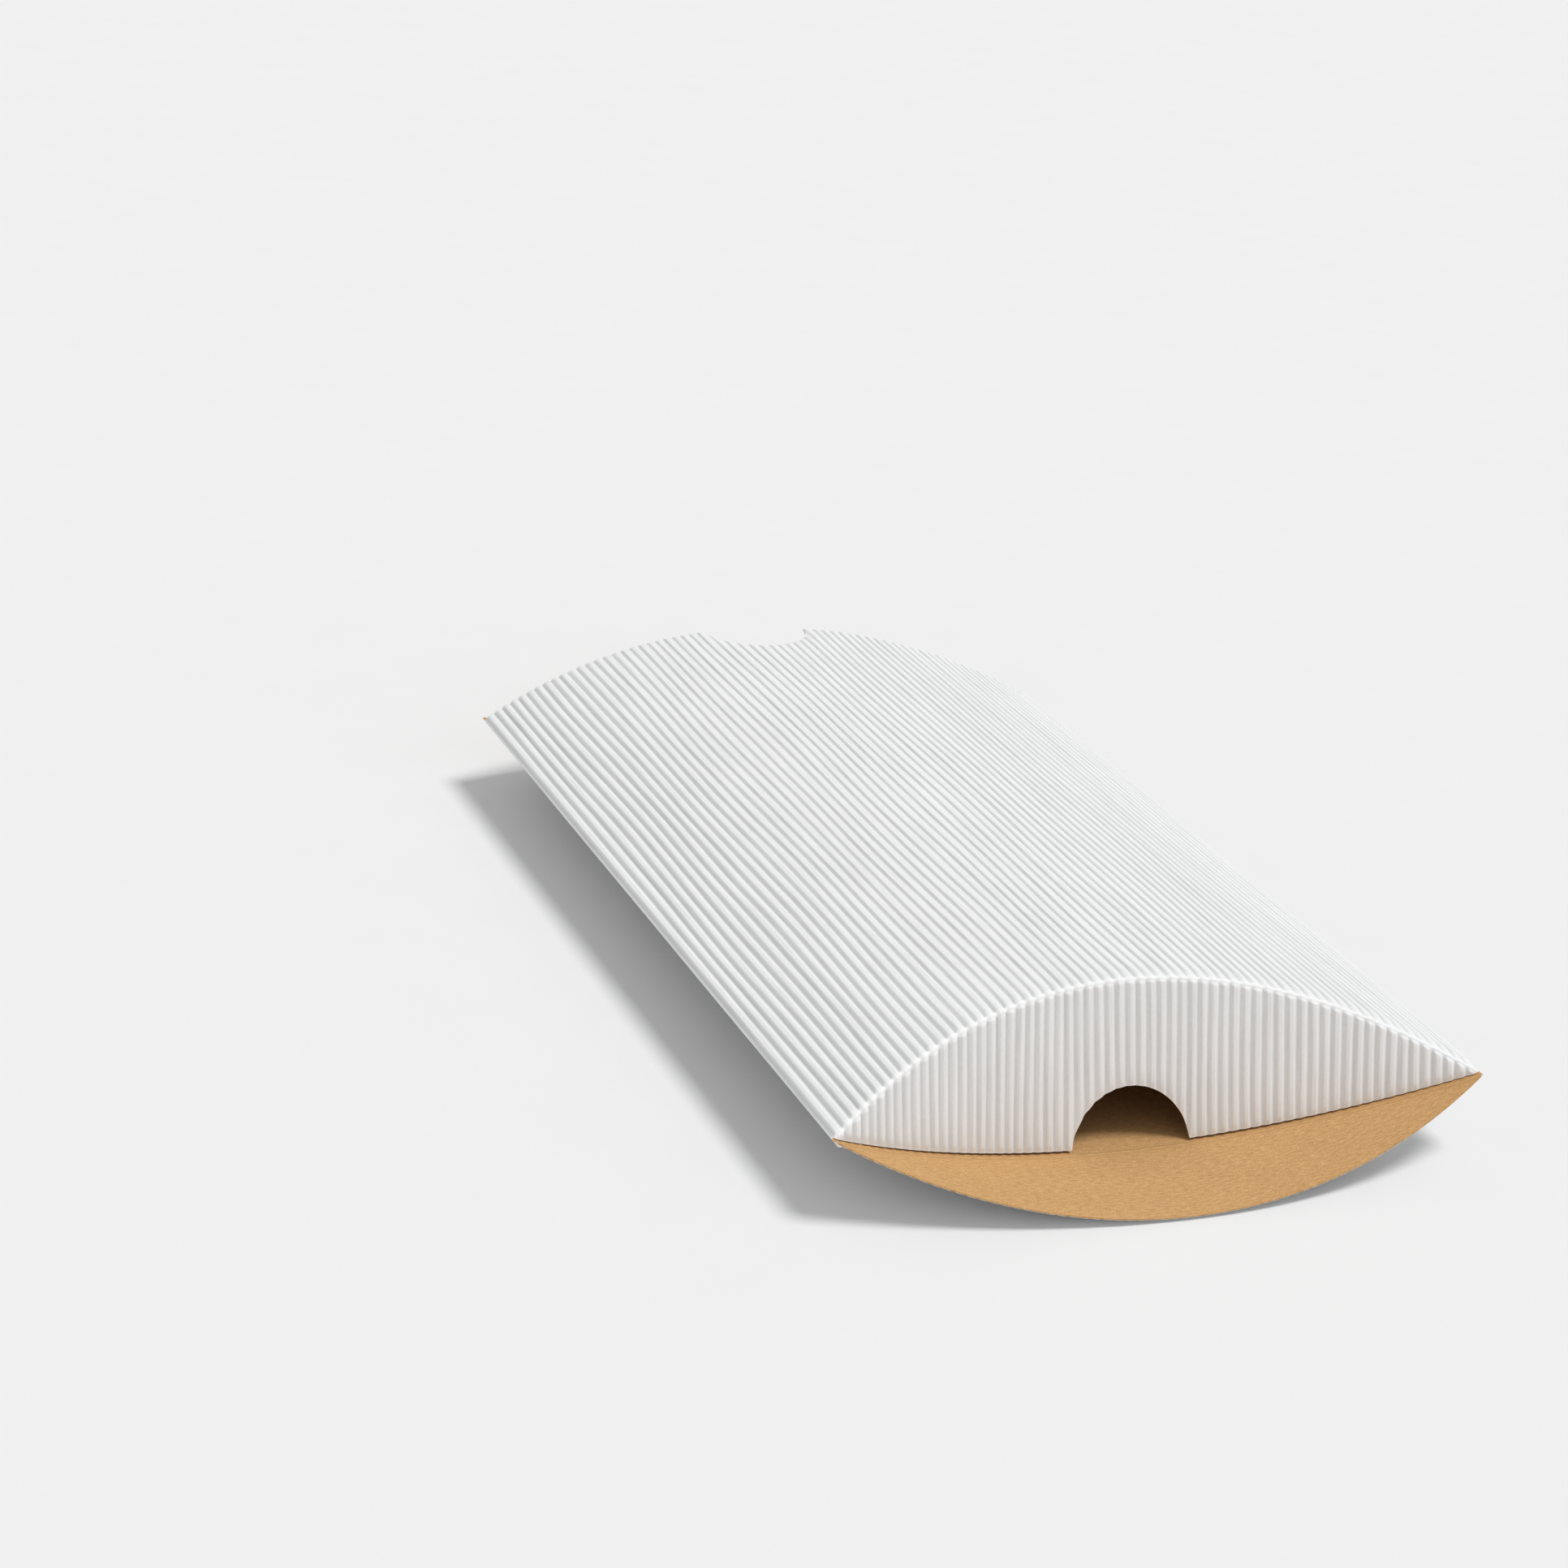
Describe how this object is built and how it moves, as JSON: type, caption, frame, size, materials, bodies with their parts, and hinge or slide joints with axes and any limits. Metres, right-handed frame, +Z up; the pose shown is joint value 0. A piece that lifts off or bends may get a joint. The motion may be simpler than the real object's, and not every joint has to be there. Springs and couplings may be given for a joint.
{
  "type": "pillow box",
  "caption": "Pillow-shaped gift box of white fluted board with a brown liner, closed by curved end flaps, the inner ones with a thumb notch.",
  "frame": {"origin": "on the surface that the box lies on, under the middle of the box", "axes": "+Z up, +Y along the box towards its open back end, +X across it towards the glued seam"},
  "size_m": [0.1614, 0.2636, 0.0382],
  "materials": {
    "fluted_board": "matte white",
    "kraft_liner": "matte brown kraft",
    "glue": "dried glue"
  },
  "bodies": {
    "shell": {"top_panel": "fluted_board", "bottom_panel": "fluted_board", "glue_tab": "kraft_liner", "glue_line": "glue"},
    "front_inner_flap_5": {"front_inner_flap_5": "fluted_board"},
    "front_inner_flap_1": {"front_inner_flap_1": "fluted_board"},
    "front_inner_flap_2": {"front_inner_flap_2": "fluted_board"},
    "front_inner_flap_3": {"front_inner_flap_3": "fluted_board"},
    "front_inner_flap_4": {"front_inner_flap_4": "fluted_board"},
    "front_inner_flap_6": {"front_inner_flap_6": "fluted_board"},
    "front_inner_flap_7": {"front_inner_flap_7": "fluted_board"},
    "front_inner_flap_8": {"front_inner_flap_8": "fluted_board"},
    "front_inner_flap_9": {"front_inner_flap_9": "fluted_board"},
    "back_inner_flap_5": {"back_inner_flap_5": "fluted_board"},
    "back_inner_flap_1": {"back_inner_flap_1": "fluted_board"},
    "back_inner_flap_2": {"back_inner_flap_2": "fluted_board"},
    "back_inner_flap_3": {"back_inner_flap_3": "fluted_board"},
    "back_inner_flap_4": {"back_inner_flap_4": "fluted_board"},
    "back_inner_flap_6": {"back_inner_flap_6": "fluted_board"},
    "back_inner_flap_7": {"back_inner_flap_7": "fluted_board"},
    "back_inner_flap_8": {"back_inner_flap_8": "fluted_board"},
    "back_inner_flap_9": {"back_inner_flap_9": "fluted_board"},
    "front_outer_flap_5": {"front_outer_flap_5": "fluted_board"},
    "front_outer_flap_1": {"front_outer_flap_1": "fluted_board"},
    "front_outer_flap_2": {"front_outer_flap_2": "fluted_board"},
    "front_outer_flap_3": {"front_outer_flap_3": "fluted_board"},
    "front_outer_flap_4": {"front_outer_flap_4": "fluted_board"},
    "front_outer_flap_6": {"front_outer_flap_6": "fluted_board"},
    "front_outer_flap_7": {"front_outer_flap_7": "fluted_board"},
    "front_outer_flap_8": {"front_outer_flap_8": "fluted_board"},
    "front_outer_flap_9": {"front_outer_flap_9": "fluted_board"},
    "back_outer_flap_5": {"back_outer_flap_5": "fluted_board"},
    "back_outer_flap_1": {"back_outer_flap_1": "fluted_board"},
    "back_outer_flap_2": {"back_outer_flap_2": "fluted_board"},
    "back_outer_flap_3": {"back_outer_flap_3": "fluted_board"},
    "back_outer_flap_4": {"back_outer_flap_4": "fluted_board"},
    "back_outer_flap_6": {"back_outer_flap_6": "fluted_board"},
    "back_outer_flap_7": {"back_outer_flap_7": "fluted_board"},
    "back_outer_flap_8": {"back_outer_flap_8": "fluted_board"},
    "back_outer_flap_9": {"back_outer_flap_9": "fluted_board"}
  },
  "joints": [
    {"name": "front_inner_fold", "type": "hinge", "parent": "shell", "child": "front_inner_flap_5", "pos_m": [0, -0.09081, 0.03687], "axis": [1, 0, 0], "range_deg": [-72.61, 0]},
    {"name": "front_inner_fold_1", "type": "hinge", "parent": "shell", "child": "front_inner_flap_1", "pos_m": [0.07152, -0.11021, 0.02262], "axis": [0.8188, -0.4626, -0.3399], "range_deg": [-83.81, 0]},
    {"name": "front_inner_fold_2", "type": "hinge", "parent": "shell", "child": "front_inner_flap_2", "pos_m": [0.05425, -0.10178, 0.02881], "axis": [0.8896, -0.3681, -0.2704], "range_deg": [-79.11, 0]},
    {"name": "front_inner_fold_3", "type": "hinge", "parent": "shell", "child": "front_inner_flap_3", "pos_m": [0.03646, -0.0957, 0.03328], "axis": [0.9477, -0.2571, -0.1889], "range_deg": [-75.57, 0]},
    {"name": "front_inner_fold_4", "type": "hinge", "parent": "shell", "child": "front_inner_flap_4", "pos_m": [0.01832, -0.09203, 0.03597], "axis": [0.9864, -0.1325, -0.0973], "range_deg": [-73.36, 0]},
    {"name": "front_inner_fold_6", "type": "hinge", "parent": "shell", "child": "front_inner_flap_6", "pos_m": [-0.01832, -0.09203, 0.03597], "axis": [0.9864, 0.1325, 0.0973], "range_deg": [-73.36, 0]},
    {"name": "front_inner_fold_7", "type": "hinge", "parent": "shell", "child": "front_inner_flap_7", "pos_m": [-0.03646, -0.0957, 0.03328], "axis": [0.9477, 0.2571, 0.1889], "range_deg": [-75.57, 0]},
    {"name": "front_inner_fold_8", "type": "hinge", "parent": "shell", "child": "front_inner_flap_8", "pos_m": [-0.05425, -0.10178, 0.02881], "axis": [0.8896, 0.3681, 0.2704], "range_deg": [-79.11, 0]},
    {"name": "front_inner_fold_9", "type": "hinge", "parent": "shell", "child": "front_inner_flap_9", "pos_m": [-0.07152, -0.11021, 0.02262], "axis": [0.8188, 0.4626, 0.3399], "range_deg": [-83.81, 0]},
    {"name": "back_inner_fold", "type": "hinge", "parent": "shell", "child": "back_inner_flap_5", "pos_m": [0, 0.09081, 0.03687], "axis": [-1, 0, 0], "range_deg": [0, 72.61]},
    {"name": "back_inner_fold_1", "type": "hinge", "parent": "shell", "child": "back_inner_flap_1", "pos_m": [-0.07152, 0.11021, 0.02262], "axis": [-0.8188, 0.4626, -0.3399], "range_deg": [0, 83.81]},
    {"name": "back_inner_fold_2", "type": "hinge", "parent": "shell", "child": "back_inner_flap_2", "pos_m": [-0.05425, 0.10178, 0.02881], "axis": [-0.8896, 0.3681, -0.2704], "range_deg": [0, 79.11]},
    {"name": "back_inner_fold_3", "type": "hinge", "parent": "shell", "child": "back_inner_flap_3", "pos_m": [-0.03646, 0.0957, 0.03328], "axis": [-0.9477, 0.2571, -0.1889], "range_deg": [0, 75.57]},
    {"name": "back_inner_fold_4", "type": "hinge", "parent": "shell", "child": "back_inner_flap_4", "pos_m": [-0.01832, 0.09203, 0.03597], "axis": [-0.9864, 0.1325, -0.0973], "range_deg": [0, 73.36]},
    {"name": "back_inner_fold_6", "type": "hinge", "parent": "shell", "child": "back_inner_flap_6", "pos_m": [0.01832, 0.09203, 0.03597], "axis": [-0.9864, -0.1325, 0.0973], "range_deg": [0, 73.36]},
    {"name": "back_inner_fold_7", "type": "hinge", "parent": "shell", "child": "back_inner_flap_7", "pos_m": [0.03646, 0.0957, 0.03328], "axis": [-0.9477, -0.2571, 0.1889], "range_deg": [0, 75.57]},
    {"name": "back_inner_fold_8", "type": "hinge", "parent": "shell", "child": "back_inner_flap_8", "pos_m": [0.05425, 0.10178, 0.02881], "axis": [-0.8896, -0.3681, 0.2704], "range_deg": [0, 79.11]},
    {"name": "back_inner_fold_9", "type": "hinge", "parent": "shell", "child": "back_inner_flap_9", "pos_m": [0.07152, 0.11021, 0.02262], "axis": [-0.8188, -0.4626, 0.3399], "range_deg": [0, 83.81]},
    {"name": "front_outer_fold", "type": "hinge", "parent": "shell", "child": "front_outer_flap_5", "pos_m": [0, -0.10351, 0.00133], "axis": [-1, 0, 0], "range_deg": [0, 107.39]},
    {"name": "front_outer_fold_1", "type": "hinge", "parent": "shell", "child": "front_outer_flap_1", "pos_m": [-0.07152, -0.11399, 0.01558], "axis": [-0.889, -0.2711, 0.369], "range_deg": [0, 113.7]},
    {"name": "front_outer_fold_2", "type": "hinge", "parent": "shell", "child": "front_outer_flap_2", "pos_m": [-0.05425, -0.10944, 0.00939], "axis": [-0.9357, -0.2089, 0.2844], "range_deg": [0, 111]},
    {"name": "front_outer_fold_3", "type": "hinge", "parent": "shell", "child": "front_outer_flap_3", "pos_m": [-0.03646, -0.10616, 0.00492], "axis": [-0.9708, -0.1421, 0.1935], "range_deg": [0, 109.01]},
    {"name": "front_outer_fold_4", "type": "hinge", "parent": "shell", "child": "front_outer_flap_4", "pos_m": [-0.01832, -0.10418, 0.00223], "axis": [-0.9926, -0.072, 0.0979], "range_deg": [0, 107.8]},
    {"name": "front_outer_fold_6", "type": "hinge", "parent": "shell", "child": "front_outer_flap_6", "pos_m": [0.01832, -0.10418, 0.00223], "axis": [-0.9926, 0.072, -0.0979], "range_deg": [0, 107.8]},
    {"name": "front_outer_fold_7", "type": "hinge", "parent": "shell", "child": "front_outer_flap_7", "pos_m": [0.03646, -0.10616, 0.00492], "axis": [-0.9708, 0.1421, -0.1935], "range_deg": [0, 109.01]},
    {"name": "front_outer_fold_8", "type": "hinge", "parent": "shell", "child": "front_outer_flap_8", "pos_m": [0.05425, -0.10944, 0.00939], "axis": [-0.9357, 0.2089, -0.2844], "range_deg": [0, 111]},
    {"name": "front_outer_fold_9", "type": "hinge", "parent": "shell", "child": "front_outer_flap_9", "pos_m": [0.07152, -0.11399, 0.01558], "axis": [-0.889, 0.2711, -0.369], "range_deg": [0, 113.7]},
    {"name": "back_outer_fold", "type": "hinge", "parent": "shell", "child": "back_outer_flap_5", "pos_m": [0, 0.10351, 0.00133], "axis": [1, 0, 0], "range_deg": [0, 107.39]},
    {"name": "back_outer_fold_1", "type": "hinge", "parent": "shell", "child": "back_outer_flap_1", "pos_m": [0.07152, 0.11399, 0.01558], "axis": [0.889, 0.2711, 0.369], "range_deg": [0, 113.7]},
    {"name": "back_outer_fold_2", "type": "hinge", "parent": "shell", "child": "back_outer_flap_2", "pos_m": [0.05425, 0.10944, 0.00939], "axis": [0.9357, 0.2089, 0.2844], "range_deg": [0, 111]},
    {"name": "back_outer_fold_3", "type": "hinge", "parent": "shell", "child": "back_outer_flap_3", "pos_m": [0.03646, 0.10616, 0.00492], "axis": [0.9708, 0.1421, 0.1935], "range_deg": [0, 109.01]},
    {"name": "back_outer_fold_4", "type": "hinge", "parent": "shell", "child": "back_outer_flap_4", "pos_m": [0.01832, 0.10418, 0.00223], "axis": [0.9926, 0.072, 0.0979], "range_deg": [0, 107.8]},
    {"name": "back_outer_fold_6", "type": "hinge", "parent": "shell", "child": "back_outer_flap_6", "pos_m": [-0.01832, 0.10418, 0.00223], "axis": [0.9926, -0.072, -0.0979], "range_deg": [0, 107.8]},
    {"name": "back_outer_fold_7", "type": "hinge", "parent": "shell", "child": "back_outer_flap_7", "pos_m": [-0.03646, 0.10616, 0.00492], "axis": [0.9708, -0.1421, -0.1935], "range_deg": [0, 109.01]},
    {"name": "back_outer_fold_8", "type": "hinge", "parent": "shell", "child": "back_outer_flap_8", "pos_m": [-0.05425, 0.10944, 0.00939], "axis": [0.9357, -0.2089, -0.2844], "range_deg": [0, 111]},
    {"name": "back_outer_fold_9", "type": "hinge", "parent": "shell", "child": "back_outer_flap_9", "pos_m": [-0.07152, 0.11399, 0.01558], "axis": [0.889, -0.2711, -0.369], "range_deg": [0, 113.7]}
  ],
  "couplings": [
    {"joint": "front_inner_fold_1", "follows": "front_inner_fold", "ratio": 1.1541},
    {"joint": "front_inner_fold_2", "follows": "front_inner_fold", "ratio": 1.0894},
    {"joint": "front_inner_fold_3", "follows": "front_inner_fold", "ratio": 1.0407},
    {"joint": "front_inner_fold_4", "follows": "front_inner_fold", "ratio": 1.0103},
    {"joint": "front_inner_fold_6", "follows": "front_inner_fold", "ratio": 1.0103},
    {"joint": "front_inner_fold_7", "follows": "front_inner_fold", "ratio": 1.0407},
    {"joint": "front_inner_fold_8", "follows": "front_inner_fold", "ratio": 1.0894},
    {"joint": "front_inner_fold_9", "follows": "front_inner_fold", "ratio": 1.1541},
    {"joint": "back_inner_fold_1", "follows": "back_inner_fold", "ratio": 1.1541},
    {"joint": "back_inner_fold_2", "follows": "back_inner_fold", "ratio": 1.0894},
    {"joint": "back_inner_fold_3", "follows": "back_inner_fold", "ratio": 1.0407},
    {"joint": "back_inner_fold_4", "follows": "back_inner_fold", "ratio": 1.0103},
    {"joint": "back_inner_fold_6", "follows": "back_inner_fold", "ratio": 1.0103},
    {"joint": "back_inner_fold_7", "follows": "back_inner_fold", "ratio": 1.0407},
    {"joint": "back_inner_fold_8", "follows": "back_inner_fold", "ratio": 1.0894},
    {"joint": "back_inner_fold_9", "follows": "back_inner_fold", "ratio": 1.1541},
    {"joint": "front_outer_fold_1", "follows": "front_outer_fold", "ratio": 1.0587},
    {"joint": "front_outer_fold_2", "follows": "front_outer_fold", "ratio": 1.0335},
    {"joint": "front_outer_fold_3", "follows": "front_outer_fold", "ratio": 1.015},
    {"joint": "front_outer_fold_4", "follows": "front_outer_fold", "ratio": 1.0038},
    {"joint": "front_outer_fold_6", "follows": "front_outer_fold", "ratio": 1.0038},
    {"joint": "front_outer_fold_7", "follows": "front_outer_fold", "ratio": 1.015},
    {"joint": "front_outer_fold_8", "follows": "front_outer_fold", "ratio": 1.0335},
    {"joint": "front_outer_fold_9", "follows": "front_outer_fold", "ratio": 1.0587},
    {"joint": "back_outer_fold_1", "follows": "back_outer_fold", "ratio": 1.0587},
    {"joint": "back_outer_fold_2", "follows": "back_outer_fold", "ratio": 1.0335},
    {"joint": "back_outer_fold_3", "follows": "back_outer_fold", "ratio": 1.015},
    {"joint": "back_outer_fold_4", "follows": "back_outer_fold", "ratio": 1.0038},
    {"joint": "back_outer_fold_6", "follows": "back_outer_fold", "ratio": 1.0038},
    {"joint": "back_outer_fold_7", "follows": "back_outer_fold", "ratio": 1.015},
    {"joint": "back_outer_fold_8", "follows": "back_outer_fold", "ratio": 1.0335},
    {"joint": "back_outer_fold_9", "follows": "back_outer_fold", "ratio": 1.0587}
  ]
}
